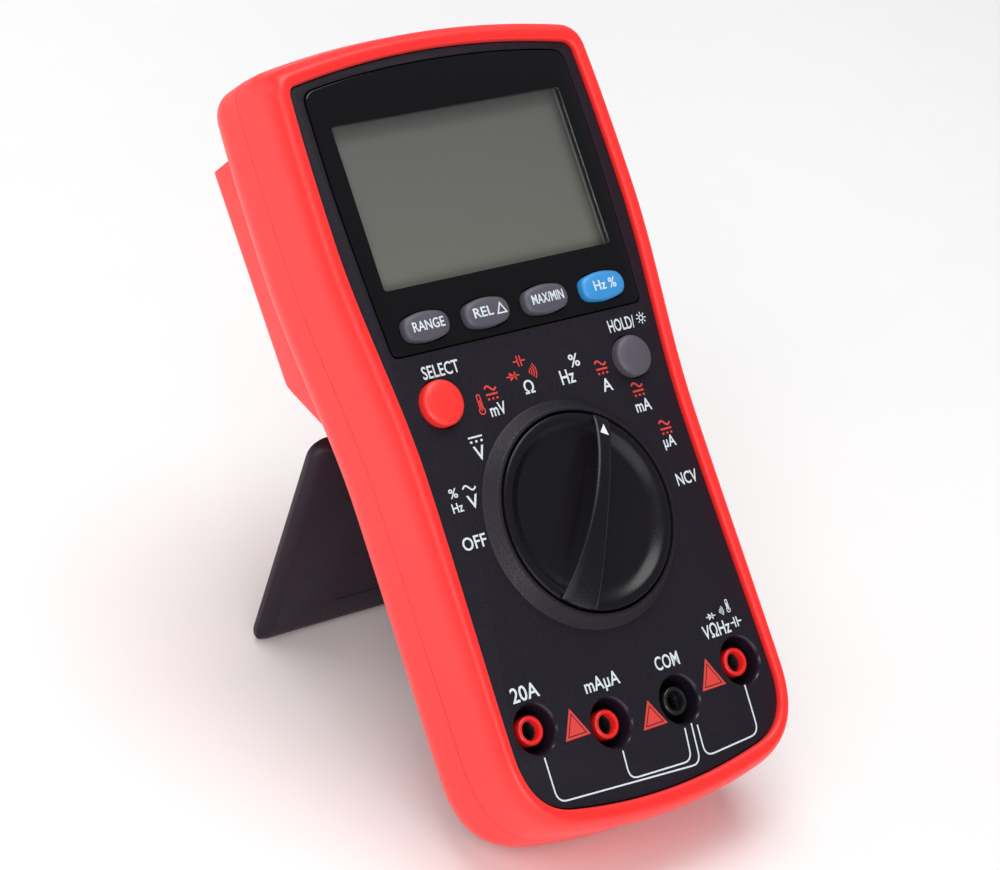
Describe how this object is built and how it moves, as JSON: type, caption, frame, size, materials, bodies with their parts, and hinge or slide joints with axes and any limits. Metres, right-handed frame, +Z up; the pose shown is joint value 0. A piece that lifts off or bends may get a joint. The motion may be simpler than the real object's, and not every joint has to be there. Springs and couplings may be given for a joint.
{
  "type": "digital multimeter",
  "caption": "Handheld digital multimeter on its open rear stand: red overmoulded case, blank display, rotary function knob, push keys and shrouded input jacks.",
  "frame": {"origin": "centre of the bounding box, on the surface that the meter stands on", "axes": "+X to the meter's right seen from its front, +Y away from the viewer towards the stand, +Z up; the face leans back 42.7 degrees from the surface"},
  "size_m": [0.0846, 0.1426, 0.1329],
  "materials": {
    "red_shell": "soft satin overmould, fine grain",
    "black_case": "fine spark-eroded texture",
    "lens": "polished window with a black printed border",
    "lcd": "matt polariser, blank segments",
    "white_plastic": "smooth",
    "black_rubber": "layered conductive rubber",
    "grey_key": "satin moulded rubber",
    "blue_key": "satin moulded rubber",
    "red_key": "satin moulded rubber",
    "keypad_rubber": "silicone sheet",
    "knob_black": "satin with polished edges",
    "rotor_plastic": "smooth",
    "spring_brass": "bright strip",
    "contact_brass": "bright turned",
    "steel": "zinc plated",
    "board": "green solder mask",
    "jack_red": "glossy moulded",
    "jack_black": "glossy moulded",
    "fuse_ceramic": "smooth with plated caps",
    "shunt_wire": "drawn wire",
    "chip_black": "moulded",
    "battery_jacket": "printed steel jacket",
    "lead_red": "insulated wire",
    "lead_black": "insulated wire",
    "label_film": "satin silver film, blank",
    "stand_black": "fine texture"
  },
  "bodies": {
    "case": {"front_bumper": "red_shell", "front_case": "black_case", "rear_case": "red_shell", "battery_door": "red_shell", "battery_door_screw": "steel", "case_screw_1": "steel", "case_screw_2": "steel", "case_screw_3": "steel", "case_screw_4": "steel", "rating_label": "label_film", "display_lens": "lens", "lcd_glass": "lcd", "lcd_frame": "white_plastic", "backlight": "white_plastic", "contact_strip_upper": "black_rubber", "contact_strip_lower": "black_rubber", "keypad": "keypad_rubber", "detent_ball_left": "steel", "detent_spring_left": "steel", "detent_ball_right": "steel", "detent_spring_right": "steel", "main_board": "board", "board_screw_1": "steel", "board_screw_2": "steel", "jack_sleeve_20a": "jack_red", "jack_contact_20a": "contact_brass", "jack_sleeve_ma": "jack_red", "jack_contact_ma": "contact_brass", "jack_sleeve_com": "jack_black", "jack_contact_com": "contact_brass", "jack_sleeve_volt": "jack_red", "jack_contact_volt": "contact_brass", "fuse_20a": "fuse_ceramic", "fuse_clip_20a_left": "spring_brass", "fuse_clip_20a_right": "spring_brass", "fuse_ma": "fuse_ceramic", "fuse_clip_ma_left": "spring_brass", "fuse_clip_ma_right": "spring_brass", "shunt": "shunt_wire", "buzzer": "chip_black", "processor_chip": "chip_black", "converter_chip": "chip_black", "voltage_sensor": "spring_brass", "battery": "battery_jacket", "battery_snap": "chip_black", "battery_lead_red": "lead_red", "battery_lead_black": "lead_black", "hinge_pin_left": "steel", "hinge_pin_right": "steel"},
    "knob": {"knob": "knob_black", "knob_rotor": "rotor_plastic", "wiper_inner": "spring_brass", "wiper_outer": "spring_brass"},
    "range_key": {"range_key": "grey_key"},
    "relative_key": {"relative_key": "grey_key"},
    "max_min_key": {"max_min_key": "grey_key"},
    "hertz_key": {"hertz_key": "blue_key"},
    "select_button": {"select_button": "red_key"},
    "hold_button": {"hold_button": "grey_key"},
    "stand": {"stand": "stand_black"}
  },
  "joints": [
    {"name": "knob_turn", "type": "hinge", "parent": "case", "child": "knob", "pos_m": [0, -0.02496, 0.06079], "axis": [0, -0.6782, 0.7349], "range_deg": [-60, 120]},
    {"name": "range_press", "type": "slide", "parent": "case", "child": "range_key", "axis": [0, 0.6782, -0.7349], "range_m": [0, 0.001], "stiffness_N_per_m": 600},
    {"name": "relative_press", "type": "slide", "parent": "case", "child": "relative_key", "axis": [0, 0.6782, -0.7349], "range_m": [0, 0.001], "stiffness_N_per_m": 600},
    {"name": "max_min_press", "type": "slide", "parent": "case", "child": "max_min_key", "axis": [0, 0.6782, -0.7349], "range_m": [0, 0.001], "stiffness_N_per_m": 600},
    {"name": "hertz_press", "type": "slide", "parent": "case", "child": "hertz_key", "axis": [0, 0.6782, -0.7349], "range_m": [0, 0.001], "stiffness_N_per_m": 600},
    {"name": "select_press", "type": "slide", "parent": "case", "child": "select_button", "axis": [0, 0.6782, -0.7349], "range_m": [0, 0.001], "stiffness_N_per_m": 600},
    {"name": "hold_press", "type": "slide", "parent": "case", "child": "hold_button", "axis": [0, 0.6782, -0.7349], "range_m": [0, 0.001], "stiffness_N_per_m": 600},
    {"name": "stand_fold", "type": "hinge", "parent": "case", "child": "stand", "pos_m": [0, 0.02082, 0.06153], "axis": [1, 0, 0], "range_deg": [-54.5, 0]}
  ]
}
